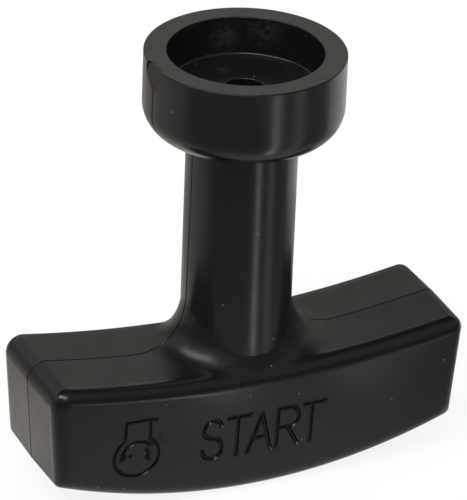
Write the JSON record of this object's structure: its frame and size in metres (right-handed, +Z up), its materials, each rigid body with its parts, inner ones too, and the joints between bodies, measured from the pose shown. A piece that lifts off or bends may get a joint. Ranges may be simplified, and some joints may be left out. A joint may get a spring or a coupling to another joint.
{
  "type": "recoil starter handle",
  "caption": "Moulded pull handle with an arched grip bar, a flared round stem, an open rope guide cup, a rope bore and a knot pocket.",
  "frame": {"origin": "on the rope's axis, at the height of the surface that the handle stands on", "axes": "+X along the grip bar, +Y from the front face with the engraved signs to the back face, +Z up the stem towards the engine"},
  "size_m": [0.0894, 0.0398, 0.0909],
  "materials": {
    "black_plastic": "fine spark-eroded mould grain, satin"
  },
  "bodies": {
    "root": {"handle": "black_plastic"}
  },
  "joints": []
}
